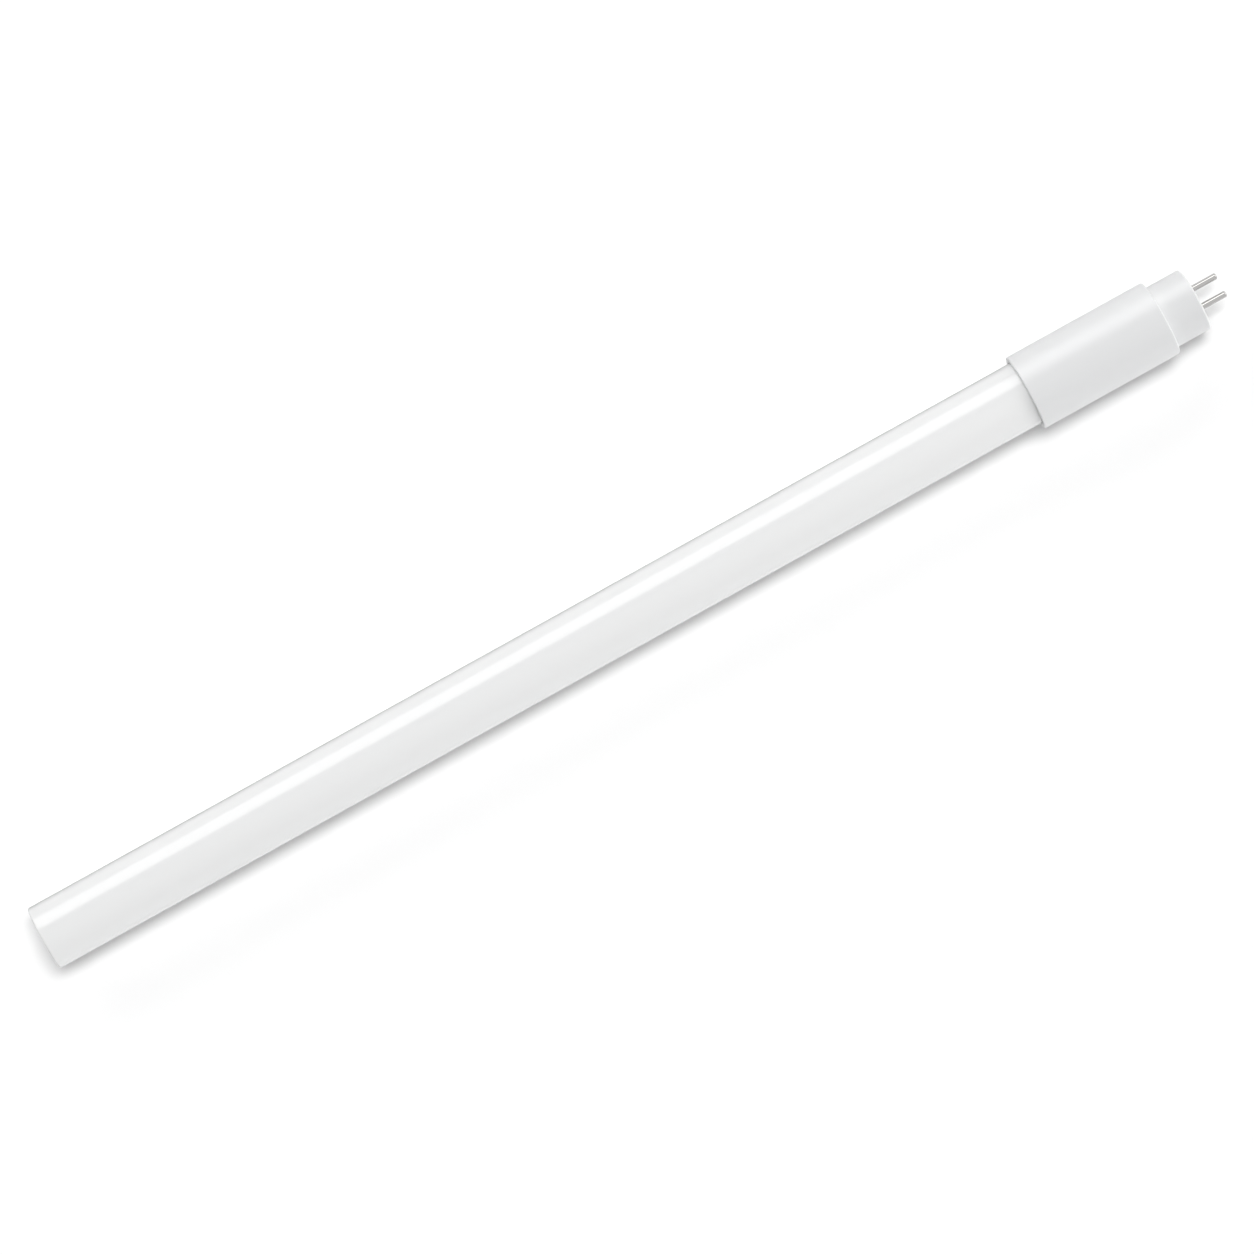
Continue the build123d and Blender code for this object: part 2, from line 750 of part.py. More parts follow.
with BuildPart() as smd_passives:
    passive_y = (
        driver_ic_y
        - driver_ic_width / 2
        - foot_reach
        - part_space
        - (passive_row_pitch + passive_width) / 2
    )
    with BuildSketch(Plane.XY.offset(under)):
        with Locations((driver_ic_x, passive_y)):
            with GridLocations(passive_pitch, passive_row_pitch, 3, 2):
                Rectangle(passive_length, passive_width)
    extrude(amount=-passive_height)
finish(smd_passives.part, "smd_passives")

with BuildPart() as output_header:
    with BuildSketch(Plane.XY.offset(strip_top + bond_gap)):
        with Locations((header_x, 0)):
            Rectangle(header_width, header_length)
        with Locations(*[(header_x, y) for y in header_pins_y]):
            Rectangle(header_pin + 2 * bond_gap, header_pin + 2 * bond_gap, mode=Mode.SUBTRACT)
    extrude(amount=header_height - 2 * bond_gap)
finish(output_header.part, "output_header")

with BuildPart() as header_pins:
    with BuildSketch(Plane.XY.offset(strip_bottom - header_pin_stub)):
        with Locations(*[(header_x, y) for y in header_pins_y]):
            Rectangle(header_pin, header_pin)
    extrude(amount=driver_top - strip_bottom + 2 * header_pin_stub)
    ends = header_pins.faces().filter_by(Axis.Z).edges()
    chamfer(ends, header_pin_chamfer)
finish(header_pins.part, "header_pins")
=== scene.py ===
"""Looks of the LED light tube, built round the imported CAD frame.  Metres, in the CAD's own frame.

The lamp lies along X with its two pins towards +X, and +Z is up.  The tube, the contact pins and
the two leads get finer pieces in place of their CAD nodes; every other node stays.  All of them
get procedural materials.
"""
import json
from math import cos, pi, radians, sin, tan

import bmesh
import bpy
from mathutils import Matrix, Vector


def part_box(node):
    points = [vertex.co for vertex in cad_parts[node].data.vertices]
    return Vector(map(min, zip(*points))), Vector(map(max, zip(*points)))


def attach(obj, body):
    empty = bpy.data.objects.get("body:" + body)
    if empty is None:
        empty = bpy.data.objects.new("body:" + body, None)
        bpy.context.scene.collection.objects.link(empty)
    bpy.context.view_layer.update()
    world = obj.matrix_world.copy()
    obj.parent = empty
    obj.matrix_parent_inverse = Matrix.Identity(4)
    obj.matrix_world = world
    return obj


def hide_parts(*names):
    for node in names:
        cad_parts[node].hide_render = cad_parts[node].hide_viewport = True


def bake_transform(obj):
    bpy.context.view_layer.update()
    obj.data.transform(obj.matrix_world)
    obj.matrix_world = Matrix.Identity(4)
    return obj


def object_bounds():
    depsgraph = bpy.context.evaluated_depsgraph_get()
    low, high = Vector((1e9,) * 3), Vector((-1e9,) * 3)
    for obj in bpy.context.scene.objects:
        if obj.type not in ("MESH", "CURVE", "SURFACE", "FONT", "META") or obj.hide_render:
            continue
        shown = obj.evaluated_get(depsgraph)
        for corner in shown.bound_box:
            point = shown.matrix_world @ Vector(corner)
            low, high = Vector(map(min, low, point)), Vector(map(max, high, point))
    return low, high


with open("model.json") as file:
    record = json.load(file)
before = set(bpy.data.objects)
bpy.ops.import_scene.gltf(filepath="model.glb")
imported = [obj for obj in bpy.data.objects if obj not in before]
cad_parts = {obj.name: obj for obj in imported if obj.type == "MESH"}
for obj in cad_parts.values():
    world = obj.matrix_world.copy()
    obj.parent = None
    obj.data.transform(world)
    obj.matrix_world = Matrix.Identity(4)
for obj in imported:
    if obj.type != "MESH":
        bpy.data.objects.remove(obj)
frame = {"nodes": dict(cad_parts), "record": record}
cad_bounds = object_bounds()

MM = 0.001
MICRON = 1e-6
X_AXIS = Vector((1, 0, 0))
Z_AXIS = Vector((0, 0, 1))
scene = bpy.context.scene
nodes = frame["nodes"]
record = frame["record"]
slot_of = {part["node"]: part["material_slot"] for part in record["subparts"]}
slot_colour = {slot["slot"]: slot["base_color"][:3] for slot in record["materials"]}
mount_dims = {mount["name"]: mount["dims"] for mount in record["mounts"]}


def blank_tree(owner):
    """Emptied node tree of a material or a world."""
    owner.use_nodes = True
    owner.node_tree.nodes.clear()
    return owner.node_tree


# ---- parts of a material -------------------------------------------------------------------

WAVE_RADIANS = 20            # Blender's wave texture turns through this many radians per unit


class Surface:
    """Principled material whose colour, roughness and relief follow patterns in object space.

    per_metre is a pattern's features per metre: one number, or one each along x, y and z.
    """

    def __init__(self, name, metallic=0.0, ior=1.5, coat=0.0, coat_roughness=0.05, sheen=0.0):
        self.name = name
        self.material = bpy.data.materials.new(name)
        self.tree = blank_tree(self.material)
        self.shader = self.add("ShaderNodeBsdfPrincipled")
        output = self.add("ShaderNodeOutputMaterial")
        self.link(self.shader.outputs["BSDF"], output.inputs["Surface"])
        self.shader.inputs["Metallic"].default_value = metallic
        self.shader.inputs["IOR"].default_value = ior
        self.shader.inputs["Coat Weight"].default_value = coat
        self.shader.inputs["Coat Roughness"].default_value = coat_roughness
        self.shader.inputs["Sheen Weight"].default_value = sheen

    def add(self, kind):
        return self.tree.nodes.new(kind)

    def link(self, source, target):
        self.tree.links.new(source, target)

    def place(self, per_metre):
        """Object coordinates, stretched."""
        if not isinstance(per_metre, tuple):
            per_metre = (per_metre, per_metre, per_metre)
        where = self.add("ShaderNodeTexCoord")
        stretch = self.add("ShaderNodeMapping")
        stretch.inputs["Scale"].default_value = per_metre
        self.link(where.outputs["Object"], stretch.inputs["Vector"])
        return stretch.outputs["Vector"]

    def cloud(self, per_metre, detail=3.0):
        """Soft noise."""
        texture = self.add("ShaderNodeTexNoise")
        texture.inputs["Scale"].default_value = 1.0
        texture.inputs["Detail"].default_value = detail
        self.link(self.place(per_metre), texture.inputs["Vector"])
        return texture.outputs["Fac"]

    def cells(self, per_metre):
        """Packed grains."""
        texture = self.add("ShaderNodeTexVoronoi")
        texture.inputs["Scale"].default_value = 1.0
        self.link(self.place(per_metre), texture.inputs["Vector"])
        return texture.outputs["Distance"]

    def ridges(self, axis, pitch, distortion=0.0):
        """Ridges that follow one another along `axis`, `pitch` metres apart."""
        texture = self.add("ShaderNodeTexWave")
        texture.bands_direction = axis
        texture.inputs["Scale"].default_value = 2 * pi / WAVE_RADIANS
        texture.inputs["Distortion"].default_value = distortion
        self.link(self.place(1 / pitch), texture.inputs["Vector"])
        return texture.outputs["Fac"]

    def product(self, first, second):
        multiply = self.add("ShaderNodeMath")
        multiply.operation = "MULTIPLY"
        self.link(first, multiply.inputs[0])
        self.link(second, multiply.inputs[1])
        return multiply.outputs["Value"]

    def colour(self, factor, dark, light):
        mix = self.add("ShaderNodeMixRGB")
        mix.inputs["Color1"].default_value = (*dark, 1)
        mix.inputs["Color2"].default_value = (*light, 1)
        self.link(factor, mix.inputs["Fac"])
        self.link(mix.outputs["Color"], self.shader.inputs["Base Color"])

    def tint(self, factor, colour, shift):
        """Colour that wanders by `shift` either way."""
        dark = [max(0.0, c - shift) for c in colour]
        light = [min(1.0, c + shift) for c in colour]
        self.colour(factor, dark, light)

    def roughness(self, factor, low, high):
        spread = self.add("ShaderNodeMapRange")
        spread.inputs["To Min"].default_value = low
        spread.inputs["To Max"].default_value = high
        self.link(factor, spread.inputs["Value"])
        self.link(spread.outputs["Result"], self.shader.inputs["Roughness"])

    def relief(self, height, depth, strength):
        bump = self.add("ShaderNodeBump")
        bump.inputs["Distance"].default_value = depth
        bump.inputs["Strength"].default_value = strength
        self.link(height, bump.inputs["Height"])
        self.link(bump.outputs["Normal"], self.shader.inputs["Normal"])


def mottled(
    name, per_metre, shift, roughness, depth, strength,
    grain=None, grain_detail=3.0, colour=None, pattern=Surface.cloud, **shader,
):
    """Surface whose colour and roughness, (low, high), follow one pattern.

    Its relief follows finer noise of `grain` features per metre or, without that, the pattern.
    Its colour is the one that the record gives the slot of this name, unless one is given here.
    """
    surface = Surface(name, **shader)
    mottle = pattern(surface, per_metre)
    surface.tint(mottle, colour or slot_colour[name], shift)
    surface.roughness(mottle, *roughness)
    relief = surface.cloud(grain, grain_detail) if grain else mottle
    surface.relief(relief, depth, strength)
    return surface


def scaled(colour, factor):
    return [factor * c for c in colour]


# ---- materials -----------------------------------------------------------------------------

OPAL = (0.852, 0.856, 0.856)
SLEEVE_WHITE = (0.748, 0.753, 0.758)
NECK_WHITE = (0.728, 0.733, 0.738)
NICKEL = (0.475, 0.47, 0.46)
DEEP_PHOSPHOR = (0.86, 0.62, 0.16)
SILICONE_IOR = 1.41
TRACK_PITCH = 1.6 * MM
WEAVE_PITCH = 0.5 * MM
TURN_PITCH = 0.32 * MM


def opal_glass():
    """Milk glass, drawn along X: faint draw lines and a nearly perfect gloss."""
    return mottled(
        "opal_glass", per_metre=(8, 60, 60), colour=OPAL, shift=0.006, roughness=(0.025, 0.045),
        grain=(6, 300, 300), depth=2 * MICRON, strength=0.2,
    )


def moulded_white(name, colour):
    """Moulded white plastic with the fine sparked texture of its tool."""
    return mottled(
        name, per_metre=(90, 160, 160), colour=colour, shift=0.006, roughness=(0.36, 0.44),
        grain=9000, grain_detail=1.0, depth=6 * MICRON, strength=0.25, sheen=0.25,
    )


def nickel():
    """Plate over turned pins: soft clouds in the plate and rings round the pin."""
    return mottled(
        "nickel", per_metre=(600, 900, 900), colour=NICKEL, shift=0.012, roughness=(0.05, 0.10),
        grain=(20000, 400, 400), depth=0.4 * MICRON, strength=0.3, metallic=1.0,
    )


def white_board():
    """White solder mask over copper tracks, which run along X."""
    surface = Surface("white_board")
    cloud = surface.cloud(300)
    surface.tint(cloud, slot_colour["white_board"], shift=0.015)
    surface.roughness(cloud, low=0.28, high=0.42)
    tracks = surface.ridges("Y", TRACK_PITCH, distortion=0.4)
    surface.relief(tracks, depth=20 * MICRON, strength=0.5)
    return surface


def led_body():
    """White moulding compound, slightly shiny."""
    return mottled(
        "led_body", per_metre=900, shift=0.01, roughness=(0.35, 0.5),
        grain=12000, grain_detail=1.0, depth=4 * MICRON, strength=0.3,
    )


def phosphor():
    """Clear silicone filled with phosphor grains."""
    surface = Surface("phosphor", ior=SILICONE_IOR, coat=0.5)
    grains = surface.cells(14000)
    surface.colour(grains, dark=DEEP_PHOSPHOR, light=slot_colour["phosphor"])
    surface.roughness(surface.cloud(2500), low=0.15, high=0.35)
    surface.relief(grains, depth=8 * MICRON, strength=0.4)
    return surface


def chip_black():
    """Black moulding compound with a coarse matte grain."""
    return mottled(
        "chip_black", per_metre=1500, shift=0.012, roughness=(0.4, 0.62),
        grain=16000, grain_detail=1.0, depth=5 * MICRON, strength=0.5,
    )


def white_silicone():
    """Adhesive bead, wavy as it was laid."""
    return mottled(
        "white_silicone", per_metre=(250, 700, 700), shift=0.02, roughness=(0.25, 0.45),
        depth=120 * MICRON, strength=0.6, ior=SILICONE_IOR,
    )


def lead_insulation():
    """Extruded silicone rubber with faint lines along the lead."""
    return mottled(
        "lead_insulation", per_metre=400, shift=0.02, roughness=(0.38, 0.52),
        grain=(300, 6000, 6000), depth=6 * MICRON, strength=0.4, ior=1.45,
    )


def spring_steel():
    """Rolled strip with its grain along X."""
    return mottled(
        "spring_steel", per_metre=(300, 12000, 12000), shift=0.03, roughness=(0.2, 0.38),
        depth=2 * MICRON, strength=0.4, metallic=1.0,
    )


def green_board():
    """Solder mask that shows the weave of the glass cloth under it."""
    surface = Surface("green_board", coat=0.3, coat_roughness=0.2)
    weave = surface.product(surface.ridges("X", WEAVE_PITCH), surface.ridges("Y", WEAVE_PITCH))
    mask = slot_colour["green_board"]
    surface.colour(weave, dark=scaled(mask, 0.8), light=scaled(mask, 1.25))
    surface.roughness(surface.cloud(500), low=0.28, high=0.42)
    surface.relief(weave, depth=10 * MICRON, strength=0.4)
    return surface


def capacitor_can():
    """Shrunk sleeving: glossy, with slight stretch marks along the can."""
    return mottled(
        "capacitor_can", per_metre=(150, 1800, 1800), shift=0.02, roughness=(0.22, 0.4),
        depth=15 * MICRON, strength=0.3, coat=0.4,
    )


def tinned_wire():
    """Dipped tin, bright in places and dull in others."""
    return mottled(
        "tinned_wire", per_metre=2500, shift=0.04, roughness=(0.2, 0.42),
        depth=6 * MICRON, strength=0.4, metallic=1.0,
    )


def ferrite():
    """Sintered grains, matte and slightly pitted."""
    return mottled(
        "ferrite", per_metre=7000, pattern=Surface.cells, shift=0.03, roughness=(0.55, 0.8),
        depth=15 * MICRON, strength=0.5,
    )


def copper_wire():
    """Enamelled wire in close turns round Z, with painted shade darkening the grooves between the
    turns.
    """
    surface = Surface("copper_wire", metallic=1.0, coat=0.6)
    turns = surface.ridges("Z", TURN_PITCH)
    copper = slot_colour["copper_wire"]
    # painted shade: the colour goes darker towards the low grooves between the turns
    surface.colour(turns, dark=scaled(copper, 0.45), light=copper)
    surface.roughness(surface.cloud(1200), low=0.25, high=0.4)
    surface.relief(turns, depth=120 * MICRON, strength=0.8)
    return surface


def capacitor_case():
    """Glossy moulded case."""
    return mottled(
        "capacitor_case", per_metre=700, shift=0.03, roughness=(0.25, 0.4),
        grain=5000, depth=8 * MICRON, strength=0.3, coat=0.3,
    )


def resistor_body():
    """Dipped ceramic coating with a slightly orange-peeled skin."""
    return mottled(
        "resistor_body", per_metre=1800, shift=0.03, roughness=(0.35, 0.55),
        depth=20 * MICRON, strength=0.4,
    )


def passive_ceramic():
    """Fine fired grains."""
    return mottled(
        "passive_ceramic", per_metre=9000, pattern=Surface.cells, shift=0.03,
        roughness=(0.35, 0.5), depth=5 * MICRON, strength=0.4,
    )


def header_plastic():
    """Moulded plastic with a slight texture."""
    return mottled(
        "header_plastic", per_metre=1100, shift=0.012, roughness=(0.3, 0.45),
        grain=10000, grain_detail=1.0, depth=4 * MICRON, strength=0.4,
    )


surfaces = [
    opal_glass(),
    moulded_white("white_plastic", SLEEVE_WHITE),
    nickel(),
    white_board(),
    led_body(),
    phosphor(),
    chip_black(),
    white_silicone(),
    lead_insulation(),
    spring_steel(),
    green_board(),
    capacitor_can(),
    tinned_wire(),
    ferrite(),
    copper_wire(),
    capacitor_case(),
    resistor_body(),
    passive_ceramic(),
    header_plastic(),
]
slot_material = {surface.name: surface.material for surface in surfaces}

for name, node in nodes.items():
    node.data.materials.clear()
    node.data.materials.append(slot_material[slot_of[name]])
nodes["pin_base"].data.materials[0] = moulded_white("base_white", NECK_WHITE).material


# ---- building pieces -----------------------------------------------------------------------

ARC_STEPS = 8                # facets in a fillet
POLE_R = 0.001 * MM          # a profile point nearer to its axis than this is a pole
SHARP_EDGE = radians(40)     # edges that turn further than this aren't smoothed


def rounded(corners):
    """Closed outline through (x, r) or (x, r, fillet) corners, with its fillets as arcs."""
    points = []
    for i, corner in enumerate(corners):
        here = Vector(corner[:2])
        if len(corner) == 2:
            points.append(here)
            continue
        fillet = corner[2]
        back = (Vector(corners[i - 1][:2]) - here).normalized()
        ahead = (Vector(corners[(i + 1) % len(corners)][:2]) - here).normalized()
        half = back.angle(ahead) / 2
        centre = here + (back + ahead).normalized() * fillet / sin(half)
        start = here + back * fillet / tan(half) - centre
        end = here + ahead * fillet / tan(half) - centre
        sweep = start.angle_signed(end)
        for k in range(ARC_STEPS + 1):
            points.append(centre + Matrix.Rotation(-sweep * k / ARC_STEPS, 2) @ start)
    return points


def joined(pairs):
    """Faces between pairs of rings of vertex numbers; a ring of one number is a pole."""
    faces = []
    for first, second in pairs:
        count = max(len(first), len(second))
        if count == 1:
            continue
        for k in range(count):
            quad = [
                first[k % len(first)],
                first[(k + 1) % len(first)],
                second[(k + 1) % len(second)],
                second[k % len(second)],
            ]
            faces.append([v for j, v in enumerate(quad) if v != quad[j - 1]])
    return faces


def turned(profile, segments, y=0.0):
    """Closed profile of (x, r) points turned about a line along X, at y and at z = 0."""
    verts, rings = [], []
    for x, r in profile:
        around = 1 if r < POLE_R else segments
        rings.append(range(len(verts), len(verts) + around))
        for k in range(around):
            turn = 2 * pi * k / segments
            verts.append((x, y + r * cos(turn), r * sin(turn)))
    return verts, joined(zip(rings, rings[1:] + rings[:1]))


def swept(path, radius, segments):
    """Round tube along path, whose points advance along X, closed by a fan at each end."""
    verts, rings = [], []
    for i, point in enumerate(path):
        along = (path[min(i + 1, len(path) - 1)] - path[max(i - 1, 0)]).normalized()
        side = along.cross(Z_AXIS).normalized()
        rings.append(range(len(verts), len(verts) + segments))
        for k in range(segments):
            turn = 2 * pi * k / segments
            verts.append(point + radius * (cos(turn) * side + sin(turn) * side.cross(along)))
    rings = [[len(verts)], *rings, [len(verts) + 1]]
    verts += [path[0], path[-1]]
    return verts, joined(zip(rings, rings[1:]))


def piece(name, shells, slot, body, node):
    """One mesh piece of several shells in place of a CAD node; without a body it is attached to
    none.
    """
    verts, faces = [], []
    for shell_verts, shell_faces in shells:
        faces += [[len(verts) + v for v in face] for face in shell_faces]
        verts += shell_verts
    mesh = bpy.data.meshes.new(name)
    mesh.from_pydata([tuple(v) for v in verts], [], faces)
    bm = bmesh.new()
    bm.from_mesh(mesh)
    bmesh.ops.recalc_face_normals(bm, faces=bm.faces)
    for face in bm.faces:
        face.smooth = True
    for edge in bm.edges:
        edge.smooth = edge.calc_face_angle(0) < SHARP_EDGE
    bm.to_mesh(mesh)
    bm.free()
    mesh.materials.append(slot_material[slot])
    made = bpy.data.objects.new(name, mesh)
    scene.collection.objects.link(made)
    if body:
        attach(made, body)
    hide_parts(node)
    return made


# ---- tube glass ----------------------------------------------------------------------------

TUBE_SEGMENTS = 192
TUBE_WALL = 0.8 * MM
SEAT_DRAW = 0.2 * MM         # the end hidden in the sleeve is drawn in this much, on the radius
RIM_OUTSIDE = 0.45 * MM      # fillets of the fire-polished rim
RIM_INSIDE = 0.2 * MM

tube_low, tube_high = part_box("tube")
sleeve_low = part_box("driver_sleeve")[0]
tube_r = tube_high.z
tube_profile = rounded([
    (tube_low.x, tube_r - TUBE_WALL, RIM_INSIDE),
    (tube_low.x, tube_r, RIM_OUTSIDE),
    (sleeve_low.x, tube_r),
    (sleeve_low.x + SEAT_DRAW, tube_r - SEAT_DRAW),
    (tube_high.x, tube_r - SEAT_DRAW),
    (tube_high.x, tube_r - TUBE_WALL),
])
piece("tube_glass", [turned(tube_profile, TUBE_SEGMENTS)], "opal_glass", "lamp", "tube")

# ---- contact pins --------------------------------------------------------------------------

PIN_SEGMENTS = 64
TIP_ROUND = 0.42 * MM
SHANK_R = 1.0 * MM           # of the part that is moulded into the base, behind x = 0
FLANGE_THICKNESS = 0.6 * MM
PIN_TAIL = 2.4 * MM
SOCKET_R = 0.45 * MM         # of the blind hole in the tail that takes the lead's core
SOCKET_DEPTH = 1.8 * MM

pins_low, pins_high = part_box("contact_pins")
pin_r = mount_dims["contact_pin_left"]["r_mm"] * MM
flange_r = pins_high.z
pin_y = pins_high.y - flange_r
tail_x = pins_low.x
flange_x = tail_x + PIN_TAIL
both_sides = (-pin_y, pin_y)

pin_profile = rounded([
    (pins_high.x, 0),
    (pins_high.x, pin_r, TIP_ROUND),
    (0, pin_r),
    (0, SHANK_R),
    (flange_x + FLANGE_THICKNESS, SHANK_R),
    (flange_x + FLANGE_THICKNESS, flange_r),
    (flange_x, flange_r),
    (flange_x, SHANK_R),
    (tail_x, SHANK_R),
    (tail_x, SOCKET_R),
    (tail_x + SOCKET_DEPTH, SOCKET_R),
    (tail_x + SOCKET_DEPTH, 0),
])
pins = piece(
    "contact_pin_pair",
    [turned(pin_profile, PIN_SEGMENTS, y) for y in both_sides],
    "nickel", "base", "contact_pins",
)

# ---- leads from the pins to the driver -----------------------------------------------------

LEAD_SEGMENTS = 20
LEAD_R = 0.55 * MM
CORE_R = 0.4 * MM
LEAD_GAP = 0.05 * MM         # between a pin's tail and the insulation
LEAD_STRAIGHT = 1.5 * MM     # behind a pin, before the lead dips
LEAD_ON_BOARD = 1.0 * MM
PATH_STEPS = 48

leads_low, leads_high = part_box("pin_leads")
lead_start = tail_x - LEAD_GAP
lead_end = leads_low.x
lead_z = leads_low.z + LEAD_R


def lead_path(y):
    """Straight out of the pin, down in one soft S and level onto the driver board."""
    dip_start = tail_x - LEAD_STRAIGHT
    dip_end = lead_end + LEAD_ON_BOARD
    path = []
    for k in range(PATH_STEPS + 1):
        x = lead_start + (lead_end - tail_x) * k / PATH_STEPS
        share = min(max((dip_start - x) / (dip_start - dip_end), 0), 1)
        path.append(Vector((x, y, lead_z * (1 - cos(pi * share)) / 2)))
    return path


def core_path(y):
    """Straight from the start of the insulation into the pin's socket."""
    length = leads_high.x - lead_start
    return [Vector((lead_start + share * length, y, 0)) for share in (0, 0.5, 1)]


insulation = piece(
    "lead_insulation",
    [swept(lead_path(y), LEAD_R, LEAD_SEGMENTS) for y in both_sides],
    "lead_insulation", None, "pin_leads",
)
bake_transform(insulation)
piece(
    "lead_cores",
    [swept(core_path(y), CORE_R, LEAD_SEGMENTS) for y in both_sides],
    "tinned_wire", "base", "pin_leads",
)

# ---- floor, card and air -------------------------------------------------------------------

AIR = 0.33                   # light that comes evenly from all round
FLOOR_COLOUR = 0.87
FLOOR_HALF = 6.0
FADE = (0.3, 1.2)            # the floor turns to plain white between these distances
# grey of the card that paints a dark reflection along the tube's outline
PAINTED_REFLECTION_GREY = 0.2
CARD_WIDTH = 21 * MM
CARD_LIFT = 0.1 * MM         # above the floor
CARD_PAST_END = 4 * MM       # beyond the tube's far end

low, high = cad_bounds
middle = (low + high) / 2


def flat_sheet(name, x_from, x_to, y_from, y_to, z):
    mesh = bpy.data.meshes.new(name)
    corners = [(x_from, y_from, z), (x_to, y_from, z), (x_to, y_to, z), (x_from, y_to, z)]
    mesh.from_pydata(corners, [], [(0, 1, 2, 3)])
    sheet = bpy.data.objects.new(name, mesh)
    scene.collection.objects.link(sheet)
    return sheet


def matte(tree, level):
    """Diffuse grey."""
    shader = tree.nodes.new("ShaderNodeBsdfDiffuse")
    shader.inputs["Color"].default_value = (level, level, level, 1)
    return shader.outputs["BSDF"]


def seen_directly(tree):
    """1 for camera, glossy and transmission rays, else 0."""
    rays = tree.nodes.new("ShaderNodeLightPath")
    value = rays.outputs["Is Camera Ray"]
    for name in ("Is Glossy Ray", "Is Transmission Ray"):
        either = tree.nodes.new("ShaderNodeMath")
        either.operation = "MAXIMUM"
        tree.links.new(value, either.inputs[0])
        tree.links.new(rays.outputs[name], either.inputs[1])
        value = either.outputs["Value"]
    return value


def make_floor():
    """Pale floor that keeps the shadow near the lamp and fades to plain white far from it."""
    floor = flat_sheet(
        "studio_floor", -FLOOR_HALF, FLOOR_HALF, -FLOOR_HALF, FLOOR_HALF, low.z,
    )
    material = bpy.data.materials.new("studio_floor")
    floor.data.materials.append(material)
    tree = blank_tree(material)
    link = tree.links.new
    where = tree.nodes.new("ShaderNodeNewGeometry")
    away = tree.nodes.new("ShaderNodeVectorMath")
    away.operation = "DISTANCE"
    away.inputs[1].default_value = (middle.x, middle.y, low.z)
    link(where.outputs["Position"], away.inputs[0])
    fade = tree.nodes.new("ShaderNodeMapRange")
    fade.inputs["From Min"].default_value, fade.inputs["From Max"].default_value = FADE
    link(away.outputs["Value"], fade.inputs["Value"])
    level = tree.nodes.new("ShaderNodeMath")
    level.operation = "MULTIPLY"
    link(seen_directly(tree), level.inputs[0])
    link(fade.outputs["Result"], level.inputs[1])
    glow = tree.nodes.new("ShaderNodeEmission")
    link(level.outputs["Value"], glow.inputs["Strength"])
    both = tree.nodes.new("ShaderNodeAddShader")
    link(matte(tree, FLOOR_COLOUR), both.inputs[0])
    link(glow.outputs["Emission"], both.inputs[1])
    output = tree.nodes.new("ShaderNodeOutputMaterial")
    link(both.outputs["Shader"], output.inputs["Surface"])
    return floor


def make_painted_reflection_card():
    """Dark card flat beside the lamp, seen only in reflections, where it paints a dark reflection.

    It gives the tube's outline on that side its thin grey edge of painted shade.
    """
    card = flat_sheet("painted_reflection_card", low.x - CARD_PAST_END, 0, 0, CARD_WIDTH, low.z + CARD_LIFT)
    material = bpy.data.materials.new("painted_reflection_card")
    card.data.materials.append(material)
    tree = blank_tree(material)
    output = tree.nodes.new("ShaderNodeOutputMaterial")
    tree.links.new(matte(tree, PAINTED_REFLECTION_GREY), output.inputs["Surface"])
    card.visible_camera = False
    card.visible_diffuse = False
    card.visible_transmission = False
    card.visible_shadow = False


def make_air():
    """White surroundings: full white where they are seen, AIR where they light something."""
    world = bpy.data.worlds.new("studio_air")
    scene.world = world
    tree = blank_tree(world)
    output = tree.nodes.new("ShaderNodeOutputWorld")
    back = tree.nodes.new("ShaderNodeBackground")
    back.inputs["Color"].default_value = (1, 1, 1, 1)
    level = tree.nodes.new("ShaderNodeMapRange")
    level.inputs["To Min"].default_value = AIR
    level.inputs["To Max"].default_value = 1.0
    tree.links.new(seen_directly(tree), level.inputs["Value"])
    tree.links.new(level.outputs["Result"], back.inputs["Strength"])
    tree.links.new(back.outputs["Background"], output.inputs["Surface"])


floor = make_floor()
make_painted_reflection_card()
make_air()

# ---- lights --------------------------------------------------------------------------------

LIGHT_DISTANCE = 9.0         # from the lamp's middle


def toward(azimuth, elevation):
    """Unit vector at azimuth, anticlockwise from +X, and elevation, both in degrees."""
    turn, rise = radians(azimuth), radians(elevation)
    return Vector((cos(turn) * cos(rise), sin(turn) * cos(rise), sin(rise)))


def overhead(tilt_x, tilt_y):
    """Unit vector near +Z, tilted towards +X and +Y, in degrees."""
    return Vector((tan(radians(tilt_x)), tan(radians(tilt_y)), 1)).normalized()


def softbox(
    name, direction, half_wide, half_tall, radiance, long_side=None, diffuse=True, glossy=True,
):
    """Rectangular softbox that faces the lamp and spans twice half_wide by twice half_tall degrees.

    Its width runs along long_side or, without that, level.
    """
    side = long_side or direction.cross(Z_AXIS)
    side = (side - side.dot(direction) * direction).normalized()
    wide = 2 * LIGHT_DISTANCE * tan(radians(half_wide))
    tall = 2 * LIGHT_DISTANCE * tan(radians(half_tall))
    data = bpy.data.lights.new(name, "AREA")
    data.shape = "RECTANGLE"
    data.size, data.size_y = wide, tall
    data.energy = radiance * wide * tall * pi
    light = bpy.data.objects.new(name, data)
    scene.collection.objects.link(light)
    turn = Matrix((side, direction.cross(side), direction)).transposed().to_4x4()
    light.matrix_world = Matrix.Translation(middle + LIGHT_DISTANCE * direction) @ turn
    light.visible_diffuse = diffuse
    light.visible_glossy = glossy
    return light


def aim(light, target, include=True):
    """Light that reaches only target or, with include off, everything else."""
    group = bpy.data.collections.new(light.name + "_group")
    group.objects.link(target)
    group.collection_objects[0].light_linking.link_state = "INCLUDE" if include else "EXCLUDE"
    light.light_linking.receiver_collection = group


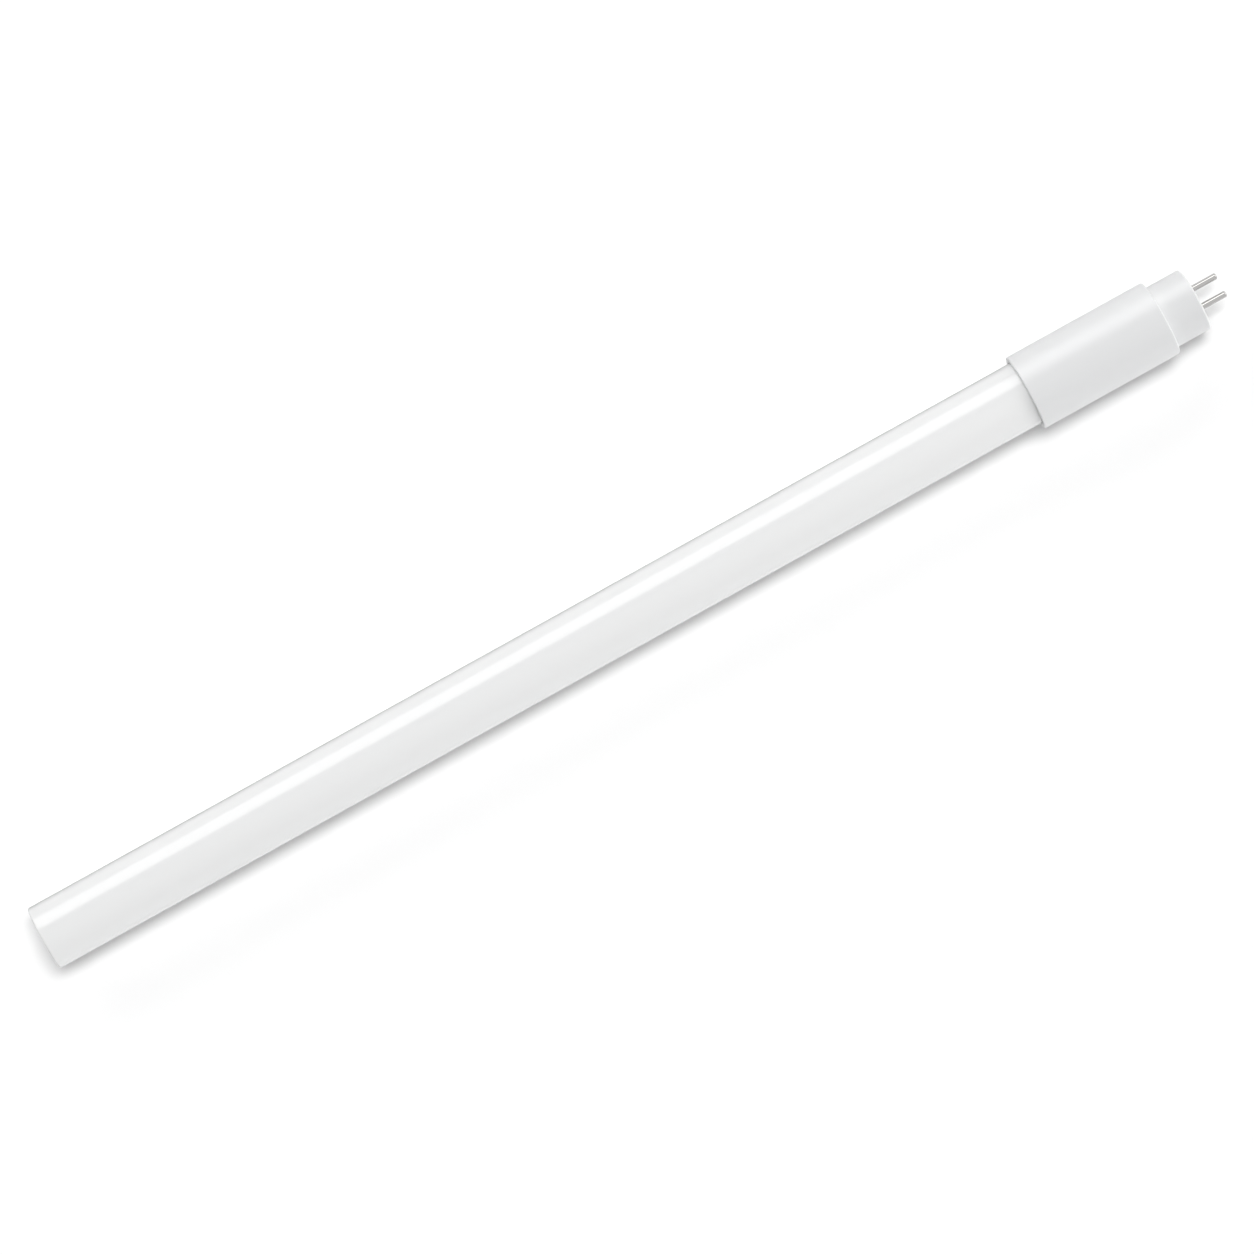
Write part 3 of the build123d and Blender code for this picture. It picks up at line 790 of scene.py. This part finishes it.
softbox(
    "key_softbox", overhead(tilt_x=4, tilt_y=8), half_wide=20, half_tall=9, radiance=5.7,
    long_side=X_AXIS, glossy=False,
)
softbox(
    "back_softbox", toward(azimuth=90, elevation=30), half_wide=35, half_tall=10, radiance=1.85,
    long_side=X_AXIS, glossy=False,
)
softbox(
    "front_fill_softbox", toward(azimuth=-50, elevation=7.2), half_wide=26, half_tall=6.8,
    radiance=4.7, glossy=False,
)
end_light = softbox(
    "end_softbox", toward(azimuth=0, elevation=30), half_wide=20, half_tall=18, radiance=2.0,
)
aim(end_light, floor, include=False)

# the tube's highlight, and the bright line on the pins
strip = softbox(
    "strip_softbox", toward(azimuth=90, elevation=32.2), half_wide=30, half_tall=20.6,
    radiance=2.9, long_side=X_AXIS, diffuse=False,
)
aim(strip, pins, include=False)
pin_light = softbox(
    "pin_softbox", toward(azimuth=90, elevation=50), half_wide=30, half_tall=9.5,
    radiance=2.4, long_side=X_AXIS, diffuse=False,
)
aim(pin_light, pins)

# the floor's own light, which sets how dark the shadow is
floor_light = softbox(
    "floor_softbox", overhead(tilt_x=7, tilt_y=12), half_wide=8, half_tall=8, radiance=14.5,
    long_side=X_AXIS, glossy=False,
)
aim(floor_light, floor)

# ---- camera --------------------------------------------------------------------------------

CAMERA_TURN = 29.06          # degrees that the lamp's axis runs up the picture
CAMERA_HEIGHT = 1.65         # above the lamp's axis
CAMERA_BACK = 36.22 * MM     # from the lamp's middle towards its far end
CAMERA_LENS = 201.23
CAMERA_CLIP = (0.01, 50.0)
LOOK_BACK = 3.22 * MM        # the point in the picture's middle, from the lamp's middle
LOOK_ASIDE = 2.58 * MM       # towards -Y

camera_at = Vector((middle.x - CAMERA_BACK, 0.0, CAMERA_HEIGHT))
look_at = Vector((middle.x - LOOK_BACK, -LOOK_ASIDE, 0.0))
back_off = (camera_at - look_at).normalized()
up = Vector((sin(radians(CAMERA_TURN)), cos(radians(CAMERA_TURN)), 0))
right = up.cross(back_off).normalized()
camera_data = bpy.data.cameras.new("camera")
camera_data.lens = CAMERA_LENS
camera_data.clip_start, camera_data.clip_end = CAMERA_CLIP
camera = bpy.data.objects.new("camera", camera_data)
scene.collection.objects.link(camera)
pose = Matrix((right, back_off.cross(right), back_off)).transposed().to_4x4()
camera.matrix_world = Matrix.Translation(camera_at) @ pose
scene.camera = camera
scene.view_settings.view_transform = "Standard"
